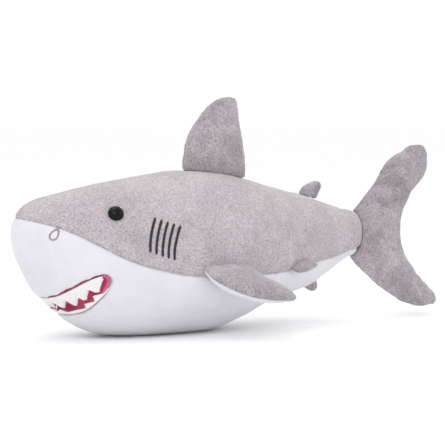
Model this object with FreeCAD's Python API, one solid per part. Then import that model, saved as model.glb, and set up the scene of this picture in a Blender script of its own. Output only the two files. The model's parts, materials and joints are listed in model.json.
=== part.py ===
"""Plush shark: sewn fabric panels over stuffing, with stuffed fins and tail sewn on at their roots.

Frame: millimetres, +Z up, head towards -X, left flank towards -Y. The origin is on the resting surface under
the middle of the toy. Lengths along the body are measured backwards from the tip of the snout.
"""

import FreeCAD, Part

import math
import os

from FreeCAD import Matrix, Placement, Rotation, Vector

# ---- driving dimensions -------------------------------------------------------------------------------
SNOUT_X = -198.5  # half the toy's length, ahead of the origin
SKIN = 2.5  # plush fabric with its pile, on the body
FIN_SKIN = 1.6  # the same fabric pulled tight over a fin
FELT = 1.4  # tooth felt and mouth lining
REACH = 250.0  # longer than the toy is wide or high, for cutting tools

# Body stations: distance from the snout, half width, then the heights of belly, widest line and back.
STATIONS = (
    (2.0, 9.5, 71.0, 82.0, 94.5),
    (7.0, 17.0, 57.5, 79.0, 101.0),
    (15.0, 24.5, 43.5, 74.0, 106.0),
    (27.0, 32.0, 28.0, 68.0, 109.5),
    (42.0, 39.0, 15.5, 63.0, 112.5),
    (60.0, 45.5, 5.5, 60.0, 116.5),
    (82.0, 51.0, 0.6, 58.0, 120.0),
    (110.0, 55.0, -1.2, 56.0, 124.5),
    (140.0, 56.0, -1.2, 55.0, 127.5),
    (170.0, 53.0, 1.5, 56.0, 126.0),
    (200.0, 46.5, 12.5, 59.0, 120.5),
    (230.0, 37.5, 23.5, 62.5, 112.5),
    (258.0, 27.0, 29.5, 66.5, 106.0),
    (282.0, 18.5, 42.0, 70.0, 98.5),
)
WIDEST = max(station[1] for station in STATIONS)
SNOUT_HEIGHT = 83.0
BACK_POWER = 1.8  # below 2 the back is peaked
BELLY_POWER = 2.2  # above 2 the belly is full
SECTION_POINTS = 20

# The body ends in half a spheroid about the upright line that the tail swings on.
TAIL_HINGE = 303.0
END_RADIUS = 12.0
END_HALF_HEIGHT = 20.5
END_HEIGHT = 72.5
END_ANGLES = (0, 25, 50, 72)
SOCKET_GAP = 0.5

# Where grey back meets white belly, seen from the side: distance from the snout, height.
COLOUR_SEAM = (
    (-12, 96.5), (2, 93.7), (14, 90.6), (26.5, 86.6), (39.5, 80.6), (52.5, 73.2), (73.5, 61.8), (100, 53),
    (125, 48.3), (160, 46), (200, 45.5), (221, 46.3), (252, 50.7), (276, 53.5), (297, 57), (330, 63),
)

# The mouth seen from the side: upper lip from front to corner, then lower lip back to the front.
UPPER_LIP = ((8, 22), (23, 31), (32, 38), (44, 46.5), (57, 51.5))
LOWER_LIP = ((61.5, 48.5), (59.5, 41.2), (52, 30.2), (44.5, 22.2), (36, 19.5), (22, 10))
MOUTH_DEPTH = 9.0
TOOTH_INSET = 0.5

# Tooth strips seen from the front, left half: offset from the middle, height.
UPPER_TEETH = (
    (0, 29), (4, 24.5), (9, 30.5), (14.5, 25.2), (21.5, 32.4), (24.2, 27.7), (29.4, 35.2), (31, 32),
    (35.6, 41.2), (37.6, 37.8), (41.2, 48.8), (41.2, 60), (0, 60),
)
LOWER_TEETH = (
    (0, 24), (4.5, 22), (9.5, 24.2), (13.5, 21.9), (20.3, 23.9), (28.6, 26.2), (29.7, 29.5), (34.7, 31.6),
    (35.8, 35.8), (39.6, 37.8), (44.5, 45.5), (50, 45), (50, 5), (0, 5),
)

# Safety eye: a domed cap on a shank, held by a washer inside the head.
EYE_DISTANCE, EYE_HEIGHT = 69.0, 97.0
EYE_RADIUS, EYE_DOME = 6.0, 4.4
EYE_SEAT, EYE_RIM = 0.5, 0.4  # how far the cap's edge reaches below and above the fabric
EYE_FLAT = 0.6  # radius of the mould mark at the middle of the dome
SHANK_RADIUS, SHANK_LENGTH = 2.5, 11.0
WASHER_RADIUS, WASHER_THICK, WASHER_DEPTH = 7.5, 1.5, 4.2

# Gill stitching: five upright rows of satin stitch.
GILLS = 5
GILL = ((97.5, 93.2), (91.2, 79.5), (89.5, 67.4))  # the front row from its top: distance, height
GILL_STEP = (4.7, -1.6)  # backwards and down, from one row to the next
GILL_SECTIONS = 7
THREAD_WIDTH, THREAD_PROUD = 1.9, 0.7
THREAD_TAPER = 0.55  # size of a row's ends beside its middle
THREAD_POINTS = 8

# Nostril: a small loop of stitching on the white of the snout.
NOSTRIL_DISTANCE, NOSTRIL_HEIGHT = 22.5, 82.0
NOSTRIL_HALF_HEIGHT, NOSTRIL_HALF_WIDTH, NOSTRIL_LEAN = 4.6, 2.3, 35
NOSTRIL_TAPER = 0.35  # how much narrower the loop's upper end is
NOSTRIL_SECTIONS = 10

# Fins. A row is the height above the root line, leading edge, trailing edge and half thickness.
FIN_GAP = 2.2  # clear space under a fin's root, so that it can lean over
DORSAL = (
    (0, -1, 60, 2.0), (4, -0.8, 59, 5.0), (10, -0.3, 57.3, 7.5), (22, 0.6, 54.9, 8.0), (34, 5, 51.2, 7.0),
    (44, 11.2, 48.2, 6.0), (53, 18.2, 45.8, 4.8), (59, 25.2, 44.2, 3.4), (62, 32.5, 42.2, 1.8),
    (62.8, 35.5, 41, 0.8),
)
SECOND_DORSAL = (
    (0, -0.5, 18, 1.6), (3, 1, 19, 3.2), (6, 3.2, 19.7, 3.8), (9.5, 6.2, 20.8, 3.6), (12.5, 10.2, 20.4, 2.8),
    (14.3, 13.4, 18.8, 1.6), (14.9, 15, 17.8, 0.8),
)
ANAL = (
    (0, 0, 18, 1.5), (2.5, 2.4, 18.5, 3.0), (5, 5.4, 18.6, 3.4), (7.5, 9, 17, 2.6), (9, 11.4, 14.8, 1.4),
    (9.5, 12.2, 13.8, 0.8),
)
PECTORAL = (
    (0, 0, 49, 2.0), (4, 0.2, 48.5, 5.0), (10, 1.2, 48.5, 7.2), (18, 4.4, 51.5, 8.2), (25, 10, 58, 8.0),
    (32, 16.8, 63, 7.0), (38, 26.5, 65.3, 5.4), (42, 38, 64.5, 3.2), (44, 46, 61.5, 1.6), (44.6, 49, 59, 0.8),
)
PELVIC = (
    (0, 0, 18, 1.4), (2, 0.3, 19.4, 2.8), (4.5, 1.5, 22, 3.4), (7, 4.5, 24, 3.0), (9, 8.6, 24.4, 2.0),
    (10, 12, 23.4, 1.2), (10.3, 13.8, 22, 0.8),
)
# The tail stands upright: height above the resting surface, leading edge, trailing edge, half thickness.
TAIL = (
    (5.2, 376, 390, 0.8), (7, 367, 394.8, 2.4), (10, 359, 396.6, 3.8), (16, 348, 395, 5.2),
    (24, 335.5, 386.5, 6.6), (33, 324.5, 376.5, 7.6), (43, 313.5, 368, 8.6), (53, 304.5, 360.5, 9.6),
    (63, 303.5, 357, 10.5), (73, 303.5, 355.8, 10.8), (83, 303.5, 356.5, 10.4), (93, 309, 360, 9.6),
    (104, 321, 366.2, 8.6), (114, 329.5, 377, 7.6), (124, 336, 383.2, 6.6), (132, 343, 384.6, 5.4),
    (139, 352.5, 384, 4.0), (144, 362, 381.2, 2.4), (146.4, 369, 377.2, 0.8),
)
# Where each fin is sewn on: its rows, the front of its root line as distance, offset and height, the way
# the root line runs, and the way the fin stands out.
FINS = {
    "dorsal_fin": (DORSAL, (144, 0, 127.5), (60, 0, -7), (0, 0, 1)),
    "second_dorsal_fin": (SECOND_DORSAL, (252, 0, 106.8), (17, 0, -5.5), (0, 0, 1)),
    "anal_fin": (ANAL, (253, 0, 28), (17, 0, 8), (0, 0, -1)),
    "pectoral_fin": (PECTORAL, (130.5, -56.8, 53), (49.7, 4.9, -0.3), (0, -0.85, -0.53)),
    "pelvic_fin": (PELVIC, (221.5, -38.5, 47), (16.5, 5, 6.5), (0, -0.8, -0.6)),
}
UPRIGHT_PARTS = ("left_cover", "right_cover", "stuffing")
FLANK_PARTS = ("top_cover", "bottom_cover", "stuffing")
FIN_THICKEST = 0.4  # share of the chord from the leading edge
FIN_POINTS = 12
THINNEST_CORE = 0.7  # half thickness below which a level holds no stuffing


# ---- small tools --------------------------------------------------------------------------------------
def at(distance, y, z):
    """A point in the toy's frame, its first coordinate measured from the snout."""
    return Vector(SNOUT_X + distance, y, z)


def smooth_ring(points):
    curve = Part.BSplineCurve()
    curve.interpolate(Points=points, PeriodicFlag=True)
    return Part.Wire([curve.toShape()])


def smooth_line(points):
    curve = Part.BSplineCurve()
    curve.interpolate(points)
    return curve.toShape()


def mirrored(shape):
    """The same piece on the other flank."""
    return shape.mirror(Vector(0, 0, 0), Vector(0, 1, 0))


def half_space(y_from, y_to):
    low, high = min(y_from, y_to), max(y_from, y_to)
    return Part.makeBox(2 * REACH, high - low, 2 * REACH, Vector(-REACH, low, -REACH))


LEFT_HALF = half_space(-REACH, 0)
RIGHT_HALF = half_space(0, REACH)


def side_prism(edges):
    """A closed outline in the upright middle plane, made a solid right across the toy."""
    face = Part.Face(Part.Wire(edges))
    face.translate(Vector(0, -REACH, 0))
    return face.extrude(Vector(0, 2 * REACH, 0))


# ---- body ---------------------------------------------------------------------------------------------
def body_section(distance, half_width, belly, widest, back, power_share, inset):
    """A closed smooth outline across the body, shrunk by inset."""
    points = []
    for i in range(SECTION_POINTS):
        angle = 2 * math.pi * (i + 0.5) / SECTION_POINTS
        across, up = math.cos(angle), math.sin(angle)
        full, reach = (BACK_POWER, back - widest) if up > 0 else (BELLY_POWER, widest - belly)
        exponent = 2 / (2 + (full - 2) * power_share)
        y = math.copysign(abs(across) ** exponent, across) * (half_width - inset)
        z = widest + math.copysign(abs(up) ** exponent, up) * (reach - inset)
        points.append(at(distance, y, z))
    return smooth_ring(points)


def body_solid(inset):
    """The whole body as one solid, shrunk by inset all round and flat where it rests."""
    sections = [Part.Vertex(at(inset, 0, SNOUT_HEIGHT))]
    for distance, half_width, belly, widest, back in STATIONS:
        share = distance / TAIL_HINGE
        sections.append(
            body_section(distance + inset * (1 - share), half_width, belly, widest, back, 1 - share, inset)
        )
    for degrees in END_ANGLES:
        along = math.sin(math.radians(degrees))
        size = math.cos(math.radians(degrees))
        half_height = (END_HALF_HEIGHT - inset) * size
        half_width = (END_RADIUS - inset) * size
        distance = TAIL_HINGE + (END_RADIUS - inset) * along
        belly, back = END_HEIGHT - half_height, END_HEIGHT + half_height
        sections.append(body_section(distance, half_width, belly, END_HEIGHT, back, 0, 0))
    sections.append(Part.Vertex(at(TAIL_HINGE + END_RADIUS - inset, 0, END_HEIGHT)))
    trunk = Part.makeLoft(sections, True, False)
    below = Part.makeBox(2 * REACH, 2 * REACH, REACH, Vector(-REACH, -REACH, inset - REACH))
    return trunk.cut(below)


def above_colour_seam():
    line = smooth_line([at(distance, 0, height) for distance, height in COLOUR_SEAM])
    start, end = line.Vertexes[0].Point, line.Vertexes[-1].Point
    corners = [end, Vector(end.x, 0, REACH), Vector(start.x, 0, REACH), start]
    return side_prism([line] + Part.makePolygon(corners).Edges)


def moved_in(outline, by):
    """A clockwise outline of points in the middle plane, every side moved inwards."""
    corners = []
    for i, here in enumerate(outline):
        before, after = outline[i - 1], outline[(i + 1) % len(outline)]
        first = Vector(0, 1, 0).cross(here - before).normalize()
        second = Vector(0, 1, 0).cross(after - here).normalize()
        corners.append(here + (first + second) * (by / (1 + first.dot(second))))
    return corners


def mouth_wedge(shrink):
    """The slit of the mouth, cut right across the head; shrink leaves room for the lining."""
    outline = moved_in([at(distance, 0, height) for distance, height in UPPER_LIP + LOWER_LIP], shrink)
    upper, lower = outline[:len(UPPER_LIP)], outline[len(UPPER_LIP):]
    corner = Part.makeLine(upper[-1], lower[0])
    front = Part.makeLine(lower[-1], upper[0])
    return side_prism([smooth_line(upper), corner, smooth_line(lower), front])


def tooth_strip(outline, outer_layer, wedge):
    """Felt with a row of points, cut from a thin layer of the head's own shape."""
    left = [Vector(-REACH, -offset, height) for offset, height in outline]
    flag = Part.Face(Part.makePolygon(left + [left[0]])).extrude(Vector(REACH, 0, 0))
    strip = outer_layer.common(wedge).common(flag)
    return strip.fuse(mirrored(strip)).removeSplitter()


def skin_point(skin, distance, height):
    """The point of the left flank at this distance and height, and the outward direction there."""
    place = at(distance, -WIDEST, height)
    for _ in range(3):
        u, v = skin.parameter(place)
        outward = skin.normal(u, v)
        place.y += (skin.value(u, v) - place).dot(outward) / outward.y
    if outward.y > 0:
        outward = outward * -1
    return place, outward


def skin_of(body):
    """The surface of the body's largest face, which is all of it but the flat where it rests."""
    return max(body.Faces, key=lambda face: face.Area).Surface


def thread(skin, places, closed=False):
    """Satin stitching that lies on the skin along these places, given as distance and height."""
    rings = []
    found = [skin_point(skin, distance, height) for distance, height in places]
    count = len(found)
    for i, (middle, outward) in enumerate(found):
        before = found[(i - 1) % count if closed else max(i - 1, 0)][0]
        after = found[(i + 1) % count if closed else min(i + 1, count - 1)][0]
        along = (after - before).normalize()
        side = outward.cross(along).normalize()
        end = THREAD_TAPER if not closed and i in (0, count - 1) else 1.0
        corners = []
        for k in range(THREAD_POINTS):
            turn = 2 * math.pi * k / THREAD_POINTS
            across = side * (THREAD_WIDTH / 2 * end * math.cos(turn))
            corners.append(middle + across + outward * (THREAD_PROUD * end * math.sin(turn)))
        rings.append(smooth_ring(corners))
    if closed:
        rings.append(rings[0])
    return Part.makeLoft(rings, True, closed)


# ---- fins ---------------------------------------------------------------------------------------------
def fin_section(level, lead, trail, half, thickest):
    """A flat rounded outline at one level of a fin that stands along Z with its chord along X."""
    crest = lead + (trail - lead) * thickest
    points = []
    for i in range(FIN_POINTS):
        angle = 2 * math.pi * (i + 0.5) / FIN_POINTS
        reach = trail - crest if math.cos(angle) > 0 else crest - lead
        points.append(Vector(crest + reach * math.cos(angle), half * math.sin(angle), level))
    return smooth_ring(points)


def fin_solid(rows, inset):
    """A fin in its own frame, shrunk by inset. Rows too thin to hold stuffing are left out of a core."""
    kept = [row for row in rows if row[3] > inset + THINNEST_CORE]
    sections = [
        fin_section(level, lead + inset, trail - inset, half - inset, FIN_THICKEST)
        for level, lead, trail, half in kept
    ]
    return Part.makeLoft(sections, True, False)


def fin_pieces(rows, root, chord, span, clear):
    """The left or top cover of a fin, its other cover and its stuffing, trimmed clear of the body."""
    across = span.cross(chord).normalize()
    turn = Placement(root, Rotation(chord, across, span, "XZY"))
    core = fin_solid(rows, FIN_SKIN)
    skin = fin_solid(rows, 0).cut(core)
    left_or_top, other = (LEFT_HALF, RIGHT_HALF) if across.y > 0 else (RIGHT_HALF, LEFT_HALF)
    covers = [skin.common(left_or_top), skin.common(other)]
    for piece in covers + [core]:
        piece.Placement = turn.multiply(piece.Placement)
    return [cover.cut(clear[0]) for cover in covers] + [core.cut(clear[1])]


# ---- groups of pieces ---------------------------------------------------------------------------------
def eye_pieces(body):
    """The left safety eye, its washer, and the room that they take up in panel and stuffing."""
    seat, outward = skin_point(skin_of(body), EYE_DISTANCE, EYE_HEIGHT)
    shoulder = Vector(EYE_RADIUS * 0.68, 0, EYE_DOME * 0.78)  # a little fuller than part of a ball
    profile = [
        Part.makeLine(Vector(0, 0, -SHANK_LENGTH), Vector(SHANK_RADIUS, 0, -SHANK_LENGTH)),
        Part.makeLine(Vector(SHANK_RADIUS, 0, -SHANK_LENGTH), Vector(SHANK_RADIUS, 0, -EYE_SEAT)),
        Part.makeLine(Vector(SHANK_RADIUS, 0, -EYE_SEAT), Vector(EYE_RADIUS, 0, -EYE_SEAT)),
        Part.makeLine(Vector(EYE_RADIUS, 0, -EYE_SEAT), Vector(EYE_RADIUS, 0, EYE_RIM)),
        Part.Arc(Vector(EYE_RADIUS, 0, EYE_RIM), shoulder, Vector(EYE_FLAT, 0, EYE_DOME)).toShape(),
        Part.makeLine(Vector(EYE_FLAT, 0, EYE_DOME), Vector(0, 0, EYE_DOME)),
        Part.makeLine(Vector(0, 0, EYE_DOME), Vector(0, 0, -SHANK_LENGTH)),
    ]
    eye = Part.Face(Part.Wire(profile)).revolve(Vector(0, 0, 0), Vector(0, 0, 1), 360)
    washer = Part.makeCylinder(WASHER_RADIUS, WASHER_THICK, Vector(0, 0, -WASHER_DEPTH - WASHER_THICK))
    washer = washer.cut(Part.makeCylinder(SHANK_RADIUS, 2 * SHANK_LENGTH, Vector(0, 0, -2 * SHANK_LENGTH)))
    room = Part.makeCylinder(WASHER_RADIUS, SHANK_LENGTH + EYE_DOME, Vector(0, 0, -SHANK_LENGTH))
    stand = Placement(seat, Rotation(Vector(0, 0, 1), outward))
    made = {"eye": eye, "washer": washer, "room": room}
    for shape in made.values():
        shape.Placement = stand
    return made


def gill_rows(body):
    """Five rows of stitching on the left flank, as one group."""
    rows, skin = [], skin_of(body)
    for i in range(GILLS):
        back_by, up_by = GILL_STEP[0] * i, GILL_STEP[1] * i
        guide = smooth_line([Vector(distance + back_by, 0, height + up_by) for distance, height in GILL])
        places = [(point.x, point.z) for point in guide.discretize(GILL_SECTIONS)]
        rows.append(thread(skin, places).cut(body))
    return Part.makeCompound(rows)


def nostril_loop(body):
    """A leaning loop of stitching, pointed at its upper end."""
    lean = math.radians(NOSTRIL_LEAN)
    places = []
    for i in range(NOSTRIL_SECTIONS):
        turn = 2 * math.pi * i / NOSTRIL_SECTIONS
        width = NOSTRIL_HALF_WIDTH * math.sin(turn) * (1 - NOSTRIL_TAPER * math.cos(turn))
        height = NOSTRIL_HALF_HEIGHT * math.cos(turn)
        distance = NOSTRIL_DISTANCE + width * math.cos(lean) + height * math.sin(lean)
        places.append((distance, NOSTRIL_HEIGHT + height * math.cos(lean) - width * math.sin(lean)))
    return thread(skin_of(body), places, closed=True).cut(body)


def body_pieces():
    """Panels, stuffing, mouth, teeth, eyes and stitching: everything that moves with the body."""
    body, core = body_solid(0), body_solid(SKIN)
    shell = body.cut(core)
    above, wedge = above_colour_seam(), mouth_wedge(0)
    pocket_floor = body_solid(MOUTH_DEPTH)
    pocket_back = body_solid(MOUTH_DEPTH + FELT)
    tooth_layer = body_solid(TOOTH_INSET).cut(body_solid(TOOTH_INSET + FELT))
    lining = core.cut(pocket_back).common(wedge).cut(mouth_wedge(FELT).cut(pocket_floor))
    eye = eye_pieces(body)
    left_back = shell.common(above).common(LEFT_HALF).cut(eye["eye"])
    stuffing = core.cut(wedge.cut(pocket_back)).cut(eye["room"]).cut(mirrored(eye["room"]))
    gills, nostril = gill_rows(body), nostril_loop(body)
    return {
        "back_panel_left": left_back,
        "back_panel_right": mirrored(left_back),
        "belly_panel": shell.cut(above).cut(wedge),
        "body_stuffing": stuffing,
        "mouth_lining": lining,
        "upper_teeth": tooth_strip(UPPER_TEETH, tooth_layer, wedge),
        "lower_teeth": tooth_strip(LOWER_TEETH, tooth_layer, wedge),
        "eye_left": eye["eye"],
        "eye_right": mirrored(eye["eye"]),
        "eye_washer_left": eye["washer"],
        "eye_washer_right": mirrored(eye["washer"]),
        "gill_stitching_left": gills,
        "gill_stitching_right": mirrored(gills),
        "nostril_stitching_left": nostril,
        "nostril_stitching_right": mirrored(nostril),
    }


def square_to(chord, towards):
    """The direction square to a fin's root line that points most nearly this way."""
    return (towards - chord * towards.dot(chord)).normalize()


def tail_pieces():
    """Two covers and the stuffing of the tail, hollowed at the front for the body's round end."""

    def socket(gap):
        ball = Part.makeSphere(1)
        stretch = Matrix()
        stretch.scale(END_RADIUS + gap, END_RADIUS + gap, END_HALF_HEIGHT + gap)
        return ball.transformGeometry(stretch).translated(at(TAIL_HINGE, 0, END_HEIGHT))

    outer = fin_solid(TAIL, 0).translated(Vector(SNOUT_X, 0, 0)).cut(socket(SOCKET_GAP))
    core = fin_solid(TAIL, FIN_SKIN).translated(Vector(SNOUT_X, 0, 0)).cut(socket(SOCKET_GAP + FIN_SKIN))
    cover = outer.cut(core)
    return [cover.common(LEFT_HALF), cover.common(RIGHT_HALF), core]


def fin_groups():
    """Every fin and the tail, as covers and stuffing."""
    clear = (body_solid(-FIN_GAP), body_solid(-FIN_GAP - FIN_SKIN))
    made = {}
    for name, (rows, root, chord, towards) in FINS.items():
        chord = Vector(*chord).normalize()
        span = square_to(chord, Vector(*towards))
        pieces = fin_pieces(rows, at(*root), chord, span, clear)
        on_middle = root[1] == 0
        for part, piece in zip(UPRIGHT_PARTS if on_middle else FLANK_PARTS, pieces):
            if on_middle:
                made[f"{name}_{part}"] = piece
            else:
                made[f"left_{name}_{part}"] = piece
                made[f"right_{name}_{part}"] = mirrored(piece)
    for part, piece in zip(UPRIGHT_PARTS, tail_pieces()):
        made[f"tail_{part}"] = piece
    return made


def main():
    os.makedirs("parts", exist_ok=True)
    nodes = {**body_pieces(), **fin_groups()}
    for name, shape in nodes.items():
        print(f"{name}: valid {shape.isValid()}, {len(shape.Solids)} solids, {shape.Volume / 1000:.2f} ml")
        shape.exportStep(f"parts/{name}.step")


main()
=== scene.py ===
# %% [markdown]
# # A plush shark, sewn and stuffed
# The real toy is a bag of short-pile plush. Two grey back panels meet along the spine, a white panel wraps
# the belly and snout, and stuffed fins are sewn on at their roots. The CAD model gives each panel its size
# and place. Here each panel becomes cloth that swells between its seams, and gets its pile, stitching, felt
# teeth and eyes. Everything is in metres, in the frame of the CAD model.

# %% Load the fixed frame
import bpy
import bmesh
import json
import math
import numpy as np
from mathutils import Matrix, Vector, noise
from mathutils.bvhtree import BVHTree


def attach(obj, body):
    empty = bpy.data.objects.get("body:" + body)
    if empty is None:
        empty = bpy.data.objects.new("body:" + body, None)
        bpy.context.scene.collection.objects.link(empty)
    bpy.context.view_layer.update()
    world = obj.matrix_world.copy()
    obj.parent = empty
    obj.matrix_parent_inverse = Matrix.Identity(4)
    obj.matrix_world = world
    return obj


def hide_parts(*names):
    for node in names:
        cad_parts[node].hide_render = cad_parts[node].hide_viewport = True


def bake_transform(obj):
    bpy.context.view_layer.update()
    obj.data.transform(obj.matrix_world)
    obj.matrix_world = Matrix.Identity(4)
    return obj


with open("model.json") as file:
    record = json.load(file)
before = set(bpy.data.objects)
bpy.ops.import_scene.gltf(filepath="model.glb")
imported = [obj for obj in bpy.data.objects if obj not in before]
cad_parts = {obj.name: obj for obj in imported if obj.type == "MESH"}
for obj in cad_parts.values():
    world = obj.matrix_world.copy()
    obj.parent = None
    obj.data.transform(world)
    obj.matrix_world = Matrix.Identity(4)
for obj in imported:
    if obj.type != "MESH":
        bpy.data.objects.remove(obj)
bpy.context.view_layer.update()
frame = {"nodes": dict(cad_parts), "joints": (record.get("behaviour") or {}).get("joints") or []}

MM = 0.001
scene = bpy.context.scene
joints = {joint["child"]: joint for joint in frame["joints"]}

# %% [markdown]
# ## The camera
# The toy is seen from its front left, a little above the floor, through a long lens. A long lens keeps the
# near fin from growing larger than the tail. The camera is made first so that every later piece can be
# judged from it.

# %% Camera
VIEW_AZIMUTH, VIEW_ELEVATION, VIEW_DISTANCE = -30.0, 3.5, 1.3
LOOK_AT = Vector((-17.6, 0, 84.5)) * MM
azimuth, elevation = math.radians(VIEW_AZIMUTH), math.radians(VIEW_ELEVATION)
towards_camera = Vector((
    math.sin(azimuth) * math.cos(elevation), -math.cos(azimuth) * math.cos(elevation), math.sin(elevation),
))
camera_data = bpy.data.cameras.new("camera")
camera_data.lens, camera_data.sensor_width = 131.5, 36
camera = bpy.data.objects.new("camera", camera_data)
camera.location = LOOK_AT + towards_camera * VIEW_DISTANCE
camera.rotation_euler = (-towards_camera).to_track_quat("-Z", "Y").to_euler()
scene.collection.objects.link(camera)
scene.camera = camera
print("camera at", [round(x, 3) for x in camera.location])

# %% [markdown]
# ## Plush in a shader
# Short plush scatters light from thousands of fibre tips. Up close it is a fine speckle, and where a hand has
# brushed the pile one way it looks lighter or darker in soft patches. Three noises at three sizes give the
# colour: patches, tufts and fibre tips. The tufts also drive a bump, and sheen lightens the edges, because
# fibres there are seen side on. The patterns read Object coordinates, so they need no unwrapping.


# %% A helper that wires the shader
class Shader:
    """A material under construction: nodes are added by name and wired as they are made."""

    def __init__(self, name):
        self.material = bpy.data.materials.new(name)
        self.material.use_nodes = True
        self.tree = self.material.node_tree
        self.surface = self.tree.nodes["Principled BSDF"]
        self.where = self.tree.nodes.new("ShaderNodeTexCoord").outputs["Object"]

    def wire(self, value, socket):
        if isinstance(value, bpy.types.NodeSocket):
            self.tree.links.new(value, socket)
        else:
            socket.default_value = value

    def noise(self, size_mm, detail=2.0, rough=0.55, distortion=0.0, where=None):
        node = self.tree.nodes.new("ShaderNodeTexNoise")
        self.wire(where or self.where, node.inputs["Vector"])
        node.inputs["Scale"].default_value = 1 / (size_mm * MM)
        node.inputs["Detail"].default_value = detail
        node.inputs["Roughness"].default_value = rough
        node.inputs["Distortion"].default_value = distortion
        return node.outputs["Fac"]

    def stretch(self, value, low, high):
        """Maps low..high to 0..1, clamped."""
        node = self.tree.nodes.new("ShaderNodeMapRange")
        self.wire(value, node.inputs["Value"])
        node.inputs["From Min"].default_value = low
        node.inputs["From Max"].default_value = high
        return node.outputs["Result"]

    def maths(self, operation, a, b):
        node = self.tree.nodes.new("ShaderNodeMath")
        node.operation = operation
        self.wire(a, node.inputs[0])
        self.wire(b, node.inputs[1])
        return node.outputs[0]

    def mix(self, share, a, b):
        """Colour a where share is 0 and colour b where it is 1."""
        node = self.tree.nodes.new("ShaderNodeMix")
        node.data_type = "RGBA"
        self.wire(share, node.inputs[0])
        self.wire(a, node.inputs[6])
        self.wire(b, node.inputs[7])
        return node.outputs[2]

    def bump(self, height, depth_mm, strength=1.0, after=None):
        node = self.tree.nodes.new("ShaderNodeBump")
        self.wire(height, node.inputs["Height"])
        node.inputs["Distance"].default_value = depth_mm * MM
        node.inputs["Strength"].default_value = strength
        if after is not None:
            self.wire(after, node.inputs["Normal"])
        return node.outputs["Normal"]

    def set(self, **sockets):
        for name, value in sockets.items():
            self.wire(value, self.surface.inputs[name.replace("_", " ")])
        return self.material


def srgb(red, green, blue, alpha=1.0):
    """A colour as a paint chart gives it, made linear for the shader."""
    linear = [c / 255 / 12.92 if c <= 10 else ((c / 255 + 0.055) / 1.055) ** 2.4 for c in (red, green, blue)]
    return (*linear, alpha)


# %% Plush, felt, thread and plastic
def plush(name, deep, middle, light, patch_mm, patch_share, tuft_mm, tuft_share, sheen, pile_mm):
    """Short-pile plush: soft brushed patches, tufts and fibre tips."""
    s = Shader(name)
    patches = s.stretch(s.noise(patch_mm, 3, 0.6, 0.8), 0.36, 0.64)
    drift = s.stretch(s.noise(patch_mm * 3.7, 1), 0.3, 0.7)
    tufts = s.noise(tuft_mm, 3, 0.7)
    tips = s.noise(tuft_mm * 0.36, 2, 0.6)
    ground = s.mix(s.maths("MULTIPLY", patches, patch_share), middle, deep)
    ground = s.mix(s.maths("MULTIPLY", drift, 0.35), ground, light)
    speck = s.maths("MULTIPLY", s.stretch(tufts, 0.38, 0.66), tuft_share)
    ground = s.mix(speck, ground, deep)
    glint = s.maths("MULTIPLY", s.stretch(tips, 0.5, 0.72), tuft_share)
    ground = s.mix(glint, ground, light)
    lie = s.bump(s.noise(patch_mm * 0.55, 2), pile_mm * 1.6, 0.5)
    pile = s.bump(tufts, pile_mm, 0.8, after=lie)
    pile = s.bump(tips, pile_mm * 0.5, 0.8, after=pile)
    s.set(Base_Color=ground, Roughness=0.92, Normal=pile)
    s.surface.inputs["Sheen Weight"].default_value = sheen
    s.surface.inputs["Sheen Roughness"].default_value = 0.45
    s.surface.inputs["Specular IOR Level"].default_value = 0.2
    return s.material


def felt(name, colour, shade, fibre_mm):
    """Pressed felt: matted fibres with no direction."""
    s = Shader(name)
    matting = s.noise(fibre_mm, 4, 0.7, 1.5)
    tone = s.mix(s.stretch(matting, 0.3, 0.75), colour, shade)
    s.set(Base_Color=tone, Roughness=0.95, Normal=s.bump(matting, 0.25, 0.7))
    s.surface.inputs["Sheen Weight"].default_value = 0.25
    s.surface.inputs["Specular IOR Level"].default_value = 0.15
    return s.material


def thread_finish(name, colour, shade, sheen):
    """Twisted embroidery thread: a fine slant across each strand and a silky gloss."""
    s = Shader(name)
    twist = s.noise(0.35, 1, 0.5)
    tone = s.mix(s.stretch(twist, 0.35, 0.65), colour, shade)
    s.set(Base_Color=tone, Roughness=0.42, Normal=s.bump(twist, 0.05, 0.6))
    s.surface.inputs["Sheen Weight"].default_value = sheen
    return s.material


grey_plush = plush(
    "grey_plush", srgb(124, 115, 124), srgb(192, 183, 188), srgb(234, 227, 229),
    patch_mm=13, patch_share=0.45, tuft_mm=1.5, tuft_share=0.75, sheen=0.6, pile_mm=1.0,
)
fin_plush = plush(
    "fin_plush", srgb(98, 89, 99), srgb(180, 171, 178), srgb(224, 217, 220),
    patch_mm=19, patch_share=0.75, tuft_mm=1.5, tuft_share=0.7, sheen=0.6, pile_mm=1.0,
)
white_plush = plush(
    "white_plush", srgb(198, 197, 204), srgb(216, 215, 222), srgb(230, 230, 234),
    patch_mm=15, patch_share=0.3, tuft_mm=1.1, tuft_share=0.18, sheen=0.2, pile_mm=0.28,
)
pink_lining = plush(
    "pink_lining", srgb(205, 72, 118), srgb(238, 104, 152), srgb(250, 150, 188),
    patch_mm=9, patch_share=0.5, tuft_mm=0.9, tuft_share=0.3, sheen=0.25, pile_mm=0.25,
)
tooth_felt = felt("tooth_felt", srgb(236, 235, 236), srgb(214, 212, 214), 1.2)
black_thread = thread_finish("black_thread", srgb(20, 20, 22), srgb(38, 38, 42), 0.15)
taupe_thread = thread_finish("taupe_thread", srgb(142, 128, 133), srgb(170, 157, 160), 0.2)


def moulded(name, colour, rough, specular):
    """Moulded plastic: smooth, with the faintest ripple of the mould."""
    s = Shader(name)
    ripple = s.noise(2.5, 1)
    paler = tuple(min(1, c * 1.25) for c in colour)
    s.set(Base_Color=s.mix(s.stretch(ripple, 0.2, 0.8), colour, paler), Normal=s.bump(ripple, 0.01, 0.2))
    s.surface.inputs["Roughness"].default_value = rough
    s.surface.inputs["Specular IOR Level"].default_value = specular
    return s.material


eye_gloss = moulded("eye_gloss", srgb(5, 4, 5), 0.08, 0.2)
washer_plastic = moulded("washer_plastic", srgb(222, 220, 214), 0.5, 0.5)
print(len(bpy.data.materials), "materials")

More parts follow.
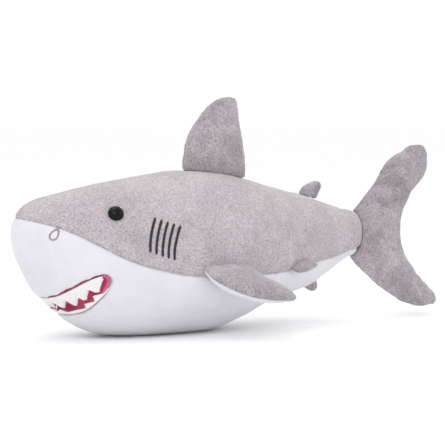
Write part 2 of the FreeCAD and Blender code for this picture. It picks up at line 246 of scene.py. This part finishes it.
# %% [markdown]
# ## From CAD solid to sewn cloth
# Every stuffed part is made the same way. Its CAD panels and stuffing are copied and remeshed as one even
# skin of small squares. A short cloth simulation then presses on it from inside while the stitches along
# its seams hold still. The cloth is stiff and gives only a little, so most of the fullness is the CAD form's.
# Last, the skin is cut along its seams into the real panels, and every cut edge is pulled in and turned
# under, as a seam allowance is.


# %% Copy, remesh and keep the outer skin
def joined_copy(nodes):
    work = bmesh.new()
    for node in nodes:
        work.from_mesh(frame["nodes"][node].data)
    bmesh.ops.remove_doubles(work, verts=work.verts, dist=0.01 * MM)
    return work


def to_object(work, name):
    mesh = bpy.data.meshes.new(name)
    work.to_mesh(mesh)
    work.free()
    made = bpy.data.objects.new(name, mesh)
    scene.collection.objects.link(made)
    return made


def evaluated_mesh(piece):
    graph = bpy.context.evaluated_depsgraph_get()
    return bpy.data.meshes.new_from_object(piece.evaluated_get(graph))


def take_result(piece):
    """Applies every modifier that the piece has."""
    mesh = evaluated_mesh(piece)
    piece.modifiers.clear()
    piece.data = mesh


def outer_skin(work):
    """Keeps the largest connected surface and drops hollows left inside."""
    work.verts.ensure_lookup_table()
    seen, best = set(), []
    for start in work.verts:
        if start.index in seen:
            continue
        island, front = [], [start]
        seen.add(start.index)
        while front:
            vert = front.pop()
            island.append(vert)
            for edge in vert.link_edges:
                other = edge.other_vert(vert)
                if other.index not in seen:
                    seen.add(other.index)
                    front.append(other)
        if len(island) > len(best):
            best = island
    keep = set(best)
    bmesh.ops.delete(work, geom=[v for v in work.verts if v not in keep], context="VERTS")


def even_skin(name, nodes, voxel_mm, smoothing):
    piece = to_object(joined_copy(nodes), name)
    remesh = piece.modifiers.new("remesh", "REMESH")
    remesh.mode = "VOXEL"
    remesh.voxel_size = voxel_mm * MM
    take_result(piece)
    work = bmesh.new()
    work.from_mesh(piece.data)
    outer_skin(work)
    for _ in range(smoothing):
        bmesh.ops.smooth_vert(
            work, verts=work.verts, factor=0.5, use_axis_x=True, use_axis_y=True, use_axis_z=True,
        )
    work.to_mesh(piece.data)
    work.free()
    return piece


# %% Where the seams run
def nearness(nodes):
    work = joined_copy(nodes)
    tree = BVHTree.FromBMesh(work)
    work.free()
    return tree


# Where grey meets white, seen from the side: x and height in millimetres.
COLOUR_SEAM = np.array((
    (-210.5, 96.5), (-196.5, 93.7), (-184.5, 90.6), (-172, 86.6), (-159, 80.6), (-146, 73.2),
    (-125, 61.8), (-98.5, 53), (-73.5, 48.3), (-38.5, 46), (1.5, 45.5), (22.5, 46.3),
    (53.5, 50.7), (77.5, 53.5), (98.5, 57), (131.5, 63),
))


def smooth_through(points, per_span=12):
    """Catmull-Rom samples through a row of points."""
    padded = np.vstack((points[:1], points, points[-1:]))
    share = np.linspace(0, 1, per_span, endpoint=False)[:, None]
    samples = []
    for p, q, r, s in zip(padded, padded[1:], padded[2:], padded[3:]):
        samples.append(0.5 * (
            2 * q + (r - p) * share + (2 * p - 5 * q + 4 * r - s) * share ** 2
            + (3 * q - p - 3 * r + s) * share ** 3
        ))
    return np.vstack(samples + [points[-1:]]) * MM


seam_x, seam_z = smooth_through(COLOUR_SEAM).T


def colour_seam(point):
    """Distance from the line where grey meets white, positive on the grey side."""
    ahead = np.interp((point.x - MM, point.x, point.x + MM), seam_x, seam_z)
    slope = (ahead[2] - ahead[0]) / (2 * MM)
    return float((point.z - ahead[1]) / math.sqrt(1 + slope * slope))


# %% Swell under pressure, held at the stitches
def swell(piece, held, pressure, cap_mm, frames=16):
    """Cloth pressure from inside. held is the set of vertex numbers that stitches keep in place."""
    rest = np.array([v.co for v in piece.data.vertices])
    group = piece.vertex_groups.new(name="stitches")
    group.add(sorted(held), 1.0, "REPLACE")
    cloth = piece.modifiers.new("cloth", "CLOTH")
    cloth.settings.quality = 4
    cloth.settings.mass = 0.02
    cloth.settings.use_pressure = True
    cloth.settings.uniform_pressure_force = pressure
    cloth.settings.vertex_group_mass = "stitches"
    cloth.settings.effector_weights.gravity = 0
    cloth.settings.tension_stiffness = 6
    cloth.settings.compression_stiffness = 6
    cloth.settings.bending_stiffness = 0.3
    cloth.point_cache.frame_start, cloth.point_cache.frame_end = 1, frames
    for step in range(1, frames + 1):
        scene.frame_set(step)
    result = evaluated_mesh(piece)
    moved = np.array([v.co for v in result.vertices]) - rest
    scene.frame_set(1)
    piece.modifiers.clear()
    piece.vertex_groups.clear()
    length = np.linalg.norm(moved, axis=1, keepdims=True)
    moved *= np.minimum(1.0, cap_mm * MM / np.maximum(length, 1e-9))
    piece.data.vertices.foreach_set("co", (rest + moved).ravel())
    print(f"{piece.name}: {len(rest)} points swelled by up to {moved.max() / MM:.1f} mm")


# %% Cut along a seam, pull it in and turn the edges under
def subdivided(piece):
    """One level of smooth subdivision, applied."""
    level = piece.modifiers.new("smooth", "SUBSURF")
    level.levels = level.render_levels = 1
    take_result(piece)


def towards_seam(point, reader, distance):
    """The step that takes a point near a seam onto it."""
    step = 0.05 * MM
    axes = [Vector([step if i == k else 0 for i in range(3)]) for k in range(3)]
    rises = [(reader(point + axis) or 0) - (reader(point - axis) or 0) for axis in axes]
    gradient = Vector(rises) / (2 * step)
    return gradient * (-distance / max(gradient.length_squared, 0.1))


def cut_where(work, reader, snap_mm=0.3):
    """Cuts the mesh along the line where reader is zero. reader gives None where nothing is to be cut.

    Points that are almost on the line are moved onto it, so that no slivers are left."""
    reading = {v: reader(v.co) for v in work.verts}
    on_line = []
    for vert, distance in reading.items():
        if distance is not None and abs(distance) < snap_mm * MM:
            vert.co += towards_seam(vert.co, reader, distance)
            reading[vert] = 0.0
            on_line.append(vert)
    for edge in list(work.edges):
        a, b = edge.verts
        if None in (reading[a], reading[b]):
            continue
        if reading[a] * reading[b] < 0:
            share = reading[a] / (reading[a] - reading[b])
            on_line.append(bmesh.utils.edge_split(edge, a, share)[1])
    bmesh.ops.connect_verts(work, verts=on_line)


def pull_in(work, reader, depth_mm, width_mm, pucker_mm, pitch_mm):
    """Sinks a seam below the pile, with the small puckers that a machine stitch leaves beside it."""
    work.normal_update()
    shifts = {}
    for vert in work.verts:
        distance = reader(vert.co)
        if distance is None or abs(distance) > 6 * width_mm * MM:
            continue
        share = distance / (width_mm * MM)
        groove = depth_mm * math.exp(-share * share)
        beside = math.exp(-share * share / 6) - math.exp(-share * share)
        ripple = noise.noise(vert.co / (pitch_mm * MM))
        shifts[vert] = vert.normal * (-groove * MM + pucker_mm * MM * beside * ripple)
    for vert, shift in shifts.items():
        vert.co += shift


def turn_under(work, depth_mm):
    """Turns every cut edge inwards, as the seam allowance inside the toy."""
    edges = [e for e in work.edges if e.is_boundary]
    inward = {v: v.normal.copy() for e in edges for v in e.verts}
    partner = {}
    made = bmesh.ops.extrude_edge_only(work, edges=edges)["geom"]
    for edge in [g for g in made if isinstance(g, bmesh.types.BMEdge)]:
        for vert in edge.verts:
            for other_edge in vert.link_edges:
                other = other_edge.other_vert(vert)
                if other in inward and vert not in inward:
                    partner[vert] = inward[other]
    for vert, normal in partner.items():
        vert.co -= normal * depth_mm * MM


def panel_from(work, faces, name, finish, allowance_mm):
    """A copy of part of the skin as an object of its own, its cut edges turned under."""
    keep = {f.index for f in faces}
    copy = work.copy()
    copy.faces.index_update()
    bmesh.ops.delete(copy, geom=[f for f in copy.faces if f.index not in keep], context="FACES")
    turn_under(copy, allowance_mm)
    for face in copy.faces:
        face.smooth = True
    panel = to_object(copy, name)
    panel.data.materials.append(finish)
    return panel


print("sewing tools ready")

# %% [markdown]
# ## The body
# One skin is grown from the back panels, belly panel and stuffing together, so that the panels share every
# point of their seams. It is cut in two places: along the spine, and along the line where grey meets white.

# %% Body skin
BODY_VOXEL = 3.0
back_panels = ["back_panel_left", "back_panel_right"]
REST_FLAT, STITCH_REACH = 0.6 * MM, 2 * MM
body_skin = even_skin("body_skin", back_panels + ["belly_panel", "body_stuffing"], BODY_VOXEL, 3)
held = {
    v.index for v in body_skin.data.vertices
    if v.co.z < REST_FLAT or abs(colour_seam(v.co)) < STITCH_REACH
}
swell(body_skin, held, pressure=40, cap_mm=1.4)
subdivided(body_skin)
print("body skin points:", len(body_skin.data.vertices))

# %% [markdown]
# ## Dents in the body
# A safety eye is clamped through the fabric by a washer, so the fabric dishes in around it. Each fin is sewn
# down through the back, so a shallow valley runs round its root. Under these, the stuffing inside is never
# quite even, and shows as soft lumps. Each dent is a depth and a width in millimetres, and fades smoothly.

# %% Eyes sink in, fin roots pull in, stuffing lumps show
EYE_SEAT = Vector((-129.5, -35.0, 97.0)) * MM
EYE_OUT = Vector((-0.195, -0.791, 0.58)).normalized()
EYE_RADIUS = 6.0
EYE_DENT, ROOT_DENT, MOUTH_DENT = (1.7, 9.5), (0.5, 3.5), (1.5, 1.4)
LUMPS = ((0.7, 34), (0.45, 15))
LUMP_FREE_HEIGHT, EYE_DENT_END = 12 * MM, 25 * MM
FIN_NAMES = ["dorsal_fin", "second_dorsal_fin", "anal_fin", "left_pectoral_fin", "left_pelvic_fin"]
fin_covers = {
    name: [node for node in frame["nodes"] if node.startswith(name) and "cover" in node] for name in FIN_NAMES
}


def dent(work, depth_at):
    """Moves every point in along its normal by depth_at, in millimetres."""
    work.normal_update()
    shifts = [(v, v.normal * (-depth_at(v.co) * MM)) for v in work.verts]
    for vert, shift in shifts:
        vert.co += shift


def on_left(point):
    return Vector((point.x, -abs(point.y), point.z))


def fading(size, away):
    depth, width = size
    return depth * math.exp(-((away / MM / width) ** 2))


def eye_dent(point):
    away = (on_left(point) - EYE_SEAT).length
    return fading(EYE_DENT, away) if away < EYE_DENT_END else 0.0


def lumps(point):
    """Uneven stuffing, fading out where the toy rests flat."""
    share = min(1.0, max(0.0, point.z / LUMP_FREE_HEIGHT))
    return share * sum(depth * noise.noise(point / (size * MM)) for depth, size in LUMPS)


root_trees = [nearness(fin_covers[name]) for name in FIN_NAMES]


def root_valley(point):
    return fading(ROOT_DENT, min(tree.find_nearest(on_left(point))[3] for tree in root_trees))


lining_tree = nearness(["mouth_lining"])


def mouth_room(point):
    """Keeps the pocket of the mouth clear behind its lining."""
    return fading(MOUTH_DENT, lining_tree.find_nearest(point)[3])


work = bmesh.new()
work.from_mesh(body_skin.data)
dent(work, lambda point: eye_dent(point) + lumps(point) + root_valley(point) + mouth_room(point))
work.to_mesh(body_skin.data)
work.free()
print("body dented at", len(root_trees), "kinds of fin root")

# %% Cut the body into its panels
work = bmesh.new()
work.from_mesh(body_skin.data)


def spine_seam(point):
    """Distance from the spine seam, positive on the left, on the grey back only."""
    return -point.y if colour_seam(point) > -0.05 * MM else None


cut_where(work, colour_seam)
cut_where(work, spine_seam)
work.faces.index_update()
centres = [(face, face.calc_center_median()) for face in work.faces]
white_faces = [face for face, centre in centres if colour_seam(centre) <= 0]
left_faces = [face for face, centre in centres if colour_seam(centre) > 0 and centre.y < 0]
right_faces = [face for face, centre in centres if colour_seam(centre) > 0 and centre.y >= 0]
pull_in(work, colour_seam, depth_mm=1.5, width_mm=1.7, pucker_mm=0.45, pitch_mm=4.5)
pull_in(work, spine_seam, depth_mm=0.9, width_mm=1.4, pucker_mm=0.3, pitch_mm=4)
BODY_ALLOWANCE = 1.6
body_back_left = panel_from(work, left_faces, "body_back_left", grey_plush, BODY_ALLOWANCE)
body_back_right = panel_from(work, right_faces, "body_back_right", grey_plush, BODY_ALLOWANCE)
body_belly = panel_from(work, white_faces, "body_belly", white_plush, BODY_ALLOWANCE)
work.free()
body_tree = BVHTree.FromPolygons(
    [v.co.copy() for v in body_skin.data.vertices], [tuple(p.vertices) for p in body_skin.data.polygons],
)
bpy.data.objects.remove(body_skin)
panels = (body_back_left, body_back_right, body_belly)
for panel, node in zip(panels, ("back_panel_left", "back_panel_right", "belly_panel")):
    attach(panel, "body")
    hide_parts(node)
    print(panel.name, len(panel.data.polygons), "faces")
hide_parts("body_stuffing")

# %% [markdown]
# ## Fins and tail
# A fin is two covers sewn round their edge, turned right side out, filled lightly and sewn to the body. It
# is fattest in the middle and thins to the stitched edge, which sinks in and puckers. At its root the fabric
# flares, because it is stitched down round a loop and not along a line. The covers bend there: below the
# root they follow the body, and eight millimetres out they follow the fin.

# %% How each fin stands
FIN_SPAN = {
    "dorsal_fin": (0, 0, 1), "second_dorsal_fin": (0, 0, 1), "anal_fin": (0, 0, -1),
    "left_pectoral_fin": (0, -0.85, -0.53), "left_pelvic_fin": (0, -0.8, -0.6), "tail": (1, 0, 0),
}
ROOT_ZONE = 8.0  # height above the body over which a fin's root is shaped, in millimetres
FLARE_AND_REACH = (0.7, 14.0)  # how much a root widens, and how many millimetres it is drawn in
ROOT_SEWN = {"tail": (0.12, 2.6), "left_pelvic_fin": (0.5, 10.0), "left_pectoral_fin": (0.6, 12.0)}
COVER_PARTS = {True: ("left_cover", "right_cover"), False: ("top_cover", "bottom_cover")}
FIN_VOXEL = {"tail": 2.2, "dorsal_fin": 1.9, "left_pectoral_fin": 1.8}
SMALL_FIN_VOXEL, SMALL_FIN_SEAM = 1.0, 0.55
EDGE_HELD, ROOT_HELD = 1.2 * MM, 4 * MM


def placing(name):
    """A fin's root, the direction of its root line, the way it stands out, and the way across it."""
    joint = joints[name]
    chord = Vector(joint["axis"]).normalized()
    towards = Vector(FIN_SPAN[name])
    span = (towards - chord * towards.dot(chord)).normalized()
    across = span.cross(chord).normalized()
    first_side = (0, 0, 1) if name.startswith("left_") else (0, -1, 0)
    if across.dot(Vector(first_side)) < 0:
        across = -across
    return Vector(joint["pos_m"]), chord, span, across


def sewn_root(piece, name, flare, reach_in_mm):
    """Flares a fin where it meets the body and takes it a little way in, to where it is stitched."""
    root, _, span, across = placing(name)
    for vert in piece.data.vertices:
        away = body_tree.find_nearest(vert.co)[3] / MM
        if away < ROOT_ZONE:
            share = 1 - away / ROOT_ZONE
            offset = (vert.co - root).dot(across)
            vert.co += across * (offset * flare * share ** 3) - span * (reach_in_mm * MM * share ** 2)


# %% Make a fin
def edge_distance(name):
    """Distance from a fin's middle plane, positive on its first cover."""
    root, _, _, across = placing(name)
    return lambda point: (point - root).dot(across)


def fin_skin_of(name, voxel):
    parts = COVER_PARTS[f"{name}_left_cover" in frame["nodes"]]
    nodes = [f"{name}_{part}" for part in parts] + [f"{name}_stuffing"]
    skin = even_skin(name + "_skin", nodes, voxel, 2)
    reader = edge_distance(name)
    root, _, span, _ = placing(name)
    held = {
        v.index for v in skin.data.vertices
        if abs(reader(v.co)) < EDGE_HELD or (v.co - root).dot(span) < ROOT_HELD
    }
    swell(skin, held, pressure=40, cap_mm=1.3, frames=14)
    subdivided(skin)
    return skin, reader, parts


def fin_covers_of(name, finishes, dimple_mm):
    skin, reader, parts = fin_skin_of(name, FIN_VOXEL.get(name, SMALL_FIN_VOXEL))
    sewn_root(skin, name, *ROOT_SEWN.get(name, FLARE_AND_REACH))
    work = bmesh.new()
    work.from_mesh(skin.data)
    dent(work, lambda point: dimple_mm * (
        noise.noise(point / (17 * MM)) + 0.6 * noise.noise(point / (8 * MM) + Vector((3, 1, 7)))
    ))
    cut_where(work, reader, snap_mm=0.2)
    work.faces.index_update()
    first = [f for f in work.faces if reader(f.calc_center_median()) > 0]
    second = [f for f in work.faces if reader(f.calc_center_median()) <= 0]
    size = 1.0 if name in FIN_VOXEL else SMALL_FIN_SEAM
    pull_in(work, reader, depth_mm=0.7 * size, width_mm=1.0 * size, pucker_mm=0.55 * size, pitch_mm=3.5)
    covers = [
        panel_from(work, faces, f"{name}_{part}_cloth", finish, 0.5 * size)
        for faces, part, finish in zip((first, second), parts, finishes)
    ]
    work.free()
    bpy.data.objects.remove(skin)
    return covers


def mirrored_piece(piece, name):
    """The same cloth on the other flank."""
    work = bmesh.new()
    work.from_mesh(piece.data)
    for vert in work.verts:
        vert.co.y = -vert.co.y
    bmesh.ops.reverse_faces(work, faces=work.faces)
    made = to_object(work, name)
    for material in piece.data.materials:
        made.data.materials.append(material)
    return made


def sew_on(cover, node, body, root, span, slot_name):
    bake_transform(cover)
    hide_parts(node)


# %% Make every fin and sew it on
GREY_BOTH = (fin_plush, fin_plush)
GREY_OVER_WHITE = (fin_plush, white_plush)
for name, finishes in (
    ("dorsal_fin", GREY_BOTH), ("second_dorsal_fin", GREY_BOTH), ("anal_fin", GREY_BOTH),
    ("left_pectoral_fin", GREY_OVER_WHITE), ("left_pelvic_fin", GREY_OVER_WHITE), ("tail", GREY_BOTH),
):
    root, _, span, _ = placing(name)
    covers = fin_covers_of(name, finishes, dimple_mm=0.9 if name == "tail" else 0.5)
    for cover in covers:
        node = cover.name.removesuffix("_cloth")
        slot_name = "white_plush" if "bottom" in node else "grey_plush"
        if name.startswith("left_"):
            other = node.replace("left_", "right_", 1)
            other_fin = name.replace("left_", "right_", 1)
            twin = mirrored_piece(cover, other + "_cloth")
            flip = Vector((1, -1, 1))
            sew_on(twin, other, other_fin, root * flip, span * flip, slot_name)
            if "top" in node:
                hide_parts(other_fin + "_stuffing")
        sew_on(cover, node, name, root, span, slot_name)
    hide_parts(name + "_stuffing")
    print(name, [len(c.data.polygons) for c in covers], "faces")

# %% [markdown]
# ## Mouth
# The mouth is a slit lined with pink plush. Two strips of white felt with cut points stand in it, one from
# each lip. Felt has a soft cut edge, so the remeshed strips keep a slight rounding.

# %% Lining and felt teeth
for name, node, voxel, finish, slot_name in (
    ("mouth_lining_cloth", "mouth_lining", 0.8, pink_lining, "pink_lining"),
    ("upper_teeth_felt", "upper_teeth", 0.55, tooth_felt, "tooth_felt"),
    ("lower_teeth_felt", "lower_teeth", 0.55, tooth_felt, "tooth_felt"),
):
    piece = even_skin(name, [node], voxel, 2)
    for polygon in piece.data.polygons:
        polygon.use_smooth = True
    piece.data.materials.clear()
    piece.data.materials.append(finish)
    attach(piece, "body")
    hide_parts(node)
    print(name, len(piece.data.polygons), "faces")

# %% [markdown]
# ## Eyes and washers
# A safety eye is a glossy dome on a shank. The dome is turned from a profile, with a small rolled rim where
# it presses into the fabric. The washer that holds it is inside the head and never shows.

# %% Eyes
TURNED_STEPS = 64


def turned(name, profile, seat, outward, finish):
    """A solid of revolution from a profile of radius and height in millimetres, stood on seat."""
    work = bmesh.new()
    line = [work.verts.new(Vector((radius, 0, height)) * MM) for radius, height in profile]
    edges = [work.edges.new(pair) for pair in zip(line, line[1:])]
    bmesh.ops.spin(
        work, geom=line + edges, cent=(0, 0, 0), axis=(0, 0, 1), angle=2 * math.pi, steps=TURNED_STEPS,
        use_merge=True,
    )
    bmesh.ops.remove_doubles(work, verts=work.verts, dist=0.001 * MM)
    bmesh.ops.recalc_face_normals(work, faces=work.faces)
    for face in work.faces:
        face.smooth = True
    stand = Matrix.Translation(seat) @ outward.to_track_quat("Z", "Y").to_matrix().to_4x4()
    bmesh.ops.transform(work, matrix=stand, verts=work.verts)
    piece = to_object(work, name)
    piece.data.materials.append(finish)
    return piece


DOME_HEIGHT, SHANK_RADIUS, SHANK_LENGTH, EYE_SUNK = 4.4, 2.5, 11.0, 1.2
dome = [
    (EYE_RADIUS * math.cos(a), 0.2 + (DOME_HEIGHT - 0.2) * math.sin(a) ** 0.92)
    for a in (math.radians(4.5 * k) for k in range(20))
]
eye_profile = (
    [(0, -SHANK_LENGTH), (SHANK_RADIUS, -SHANK_LENGTH), (SHANK_RADIUS, -1.2), (EYE_RADIUS - 0.5, -1.0)]
    + [(EYE_RADIUS - 0.15, -0.75), (EYE_RADIUS, -0.35)] + dome + [(0, DOME_HEIGHT)]
)
for side, sign in (("left", 1), ("right", -1)):
    flip = Vector((1, sign, 1))
    seat = (EYE_SEAT - EYE_OUT * EYE_SUNK * MM) * flip
    eye = turned(f"eye_{side}_dome", eye_profile, seat, EYE_OUT * flip, eye_gloss)
    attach(eye, "body")
    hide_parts(f"eye_{side}")
    washer = frame["nodes"][f"eye_washer_{side}"]
    washer.data.materials.clear()
    washer.data.materials.append(washer_plastic)
print("eyes turned, two washers finished")

# %% [markdown]
# ## Stitched gills and nostrils
# Satin stitch is one thread laid to and fro across a line, hundreds of times, each pass touching the next.
# Each pass is made here as a small arched tube that dives into the plush at both ends. The line is found by
# looking straight at the flank from the side, so the stitches lie on the swollen cloth.


# %% One stitch
def one_stitch():
    """An arch of thread on a unit scale: 1 to either side along X, 1 high along Z."""
    work = bmesh.new()
    ring = bmesh.ops.create_circle(work, segments=5, radius=1)["verts"]
    bmesh.ops.scale(work, vec=(0.3, 1, 1), verts=ring)
    bmesh.ops.translate(work, vec=(-1, 0, 0), verts=ring)
    bmesh.ops.spin(work, geom=work.edges[:], cent=(0, 0, 0), axis=(0, 1, 0), angle=math.pi, steps=6)
    bmesh.ops.holes_fill(work, edges=[e for e in work.edges if e.is_boundary])
    bmesh.ops.recalc_face_normals(work, faces=work.faces)
    for face in work.faces:
        face.smooth = True
    mesh = bpy.data.meshes.new("one_stitch")
    work.to_mesh(mesh)
    work.free()
    return mesh


stitch_mesh = one_stitch()
print("a stitch has", len(stitch_mesh.polygons), "faces")


# %% Satin stitch
def on_flank(x_mm, z_mm, sign):
    """The point of the flank seen from the side at this place, and the outward direction there."""
    start = Vector((x_mm * MM, -sign * 0.2, z_mm * MM))
    place, normal, _, _ = body_tree.ray_cast(start, Vector((0, sign, 0)))
    return place, normal if normal.y * sign < 0 else -normal


def evenly(points, pitch):
    """Points and directions at an even pitch along a line of flat points."""
    lengths = [(b - a).length for a, b in zip(points, points[1:])]
    count = int(sum(lengths) / pitch)
    for k in range(count):
        along, i = sum(lengths) * (k + 0.5) / count, 0
        while along > lengths[i] and i < len(lengths) - 1:
            along -= lengths[i]
            i += 1
        ahead = points[i + 1] - points[i]
        yield points[i] + ahead * (along / lengths[i]), ahead.normalized(), min(k, count - 1 - k)


THREAD_SINK, THREAD_OVERLAP, THREAD_SLANT = 0.3, 0.56, 0.35


def satin(work, line, sign, width_mm, proud_mm, pitch_mm, closed):
    """Lays arched threads across a line of (x, z) places in millimetres."""
    for place, ahead, from_end in evenly(line, pitch_mm):
        middle, outward = on_flank(place.x, place.y, sign)
        forward = Vector((ahead.x, 0, ahead.y))
        forward = (forward - outward * forward.dot(outward)).normalized()
        side = outward.cross(forward)
        size = 1.0 if closed else min(1.0, 0.55 + from_end * 0.16)
        half = width_mm / 2 * size * (1 + 0.12 * noise.noise(middle * 900))
        stand = Matrix((
            side * half - forward * (THREAD_SLANT * pitch_mm), forward * (THREAD_OVERLAP * pitch_mm),
            outward * (proud_mm * size),
        )).transposed() * MM
        stand = Matrix.Translation(middle - outward * (THREAD_SINK * MM)) @ stand.to_4x4()
        before = len(work.verts)
        work.from_mesh(stitch_mesh)
        work.verts.ensure_lookup_table()
        bmesh.ops.transform(work, matrix=stand, verts=work.verts[before:])


def stitched(name, lines, sign, width_mm, proud_mm, pitch_mm, finish, closed):
    work = bmesh.new()
    for line in lines:
        satin(work, line, sign, width_mm, proud_mm, pitch_mm, closed)
    bmesh.ops.recalc_face_normals(work, faces=work.faces)
    piece = to_object(work, name)
    piece.data.materials.append(finish)
    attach(piece, "body")
    print(name, len(piece.data.polygons) // len(stitch_mesh.polygons), "stitches")
    return piece


# %% Gills and nostrils
GILL = [(-101.0, 93.2), (-107.3, 79.5), (-109.0, 67.4)]
GILL_STEP = (4.7, -1.6)
GILL_THREAD, NOSTRIL_THREAD = (1.9, 0.75, 0.46), (1.3, 0.5, 0.5)  # width, height and pitch of the stitches
NOSTRIL_MIDDLE, NOSTRIL_HALF, NOSTRIL_LEAN = Vector((-176.0, 82.0)), (2.3, 4.6), math.radians(35)


def through(a, b, c, share):
    """A smooth curve through three points."""
    a, b, c = Vector(a), Vector(b), Vector(c)
    at_ends = a * (1 - share) * (1 - 2 * share) - c * share * (1 - 2 * share)
    return at_ends + b * (4 * share * (1 - share))


gill_lines = [
    [through(*GILL, s / 12) + Vector(GILL_STEP) * row for s in range(13)] for row in range(5)
]
nostril_line = []
for k in range(33):
    turn = 2 * math.pi * k / 32
    across = NOSTRIL_HALF[0] * math.sin(turn) * (1 - 0.35 * math.cos(turn))
    up = NOSTRIL_HALF[1] * math.cos(turn)
    nostril_line.append(NOSTRIL_MIDDLE + Vector((
        across * math.cos(NOSTRIL_LEAN) + up * math.sin(NOSTRIL_LEAN),
        up * math.cos(NOSTRIL_LEAN) - across * math.sin(NOSTRIL_LEAN),
    )))
for side, sign in (("left", 1), ("right", -1)):
    gills = stitched(f"gill_{side}_satin", gill_lines, sign, *GILL_THREAD, black_thread, False)
    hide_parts(f"gill_stitching_{side}")
    nostril = stitched(f"nostril_{side}_satin", [nostril_line], sign, *NOSTRIL_THREAD, taupe_thread, True)
    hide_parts(f"nostril_stitching_{side}")

# %% [markdown]
# ## Studio
# A pale floor runs under and behind the toy with no edge in sight. A large soft light above and in front
# does most of the work. A weaker one fills from the right, and the white surroundings keep the shadows open.

# %% Floor, lights and surroundings
def area_light(name, location, aim, size, power):
    data = bpy.data.lights.new(name, "AREA")
    data.shape, data.size, data.size_y, data.energy = "RECTANGLE", size[0], size[1], power
    lamp = bpy.data.objects.new(name, data)
    lamp.location = location
    lamp.rotation_euler = (Vector(aim) - Vector(location)).to_track_quat("-Z", "Y").to_euler()
    scene.collection.objects.link(lamp)


area_light("key", (-0.75, -0.85, 1.15), (0, 0, 0.06), (0.8, 0.6), 2.8)
area_light("catch", (-0.95, -0.95, 0.85), (-0.1, 0, 0.08), (0.1, 0.1), 0.9)
area_light("fill", (0.9, -1.0, 0.7), (0, 0, 0.06), (0.9, 0.9), 0.8)
area_light("top", (-0.2, 0.2, 1.3), (0, 0, 0.05), (1.0, 0.8), 3.0)

work = bmesh.new()
bmesh.ops.create_grid(work, x_segments=4, y_segments=4, size=40)
floor = to_object(work, "floor")
floor_finish = Shader("floor_finish")
paper = floor_finish.noise(400, 1)
floor_finish.set(Base_Color=floor_finish.mix(paper, (0.985, 0.985, 0.985, 1), (0.995, 0.995, 0.995, 1)))
floor_finish.surface.inputs["Roughness"].default_value = 0.9
floor.data.materials.append(floor_finish.material)

world = bpy.data.worlds.new("studio")
world.use_nodes = True
world.node_tree.nodes["Background"].inputs["Color"].default_value = (1, 1, 1, 1)
world.node_tree.nodes["Background"].inputs["Strength"].default_value = 1.0
scene.world = world
scene.view_settings.view_transform = "Standard"
print("studio ready")
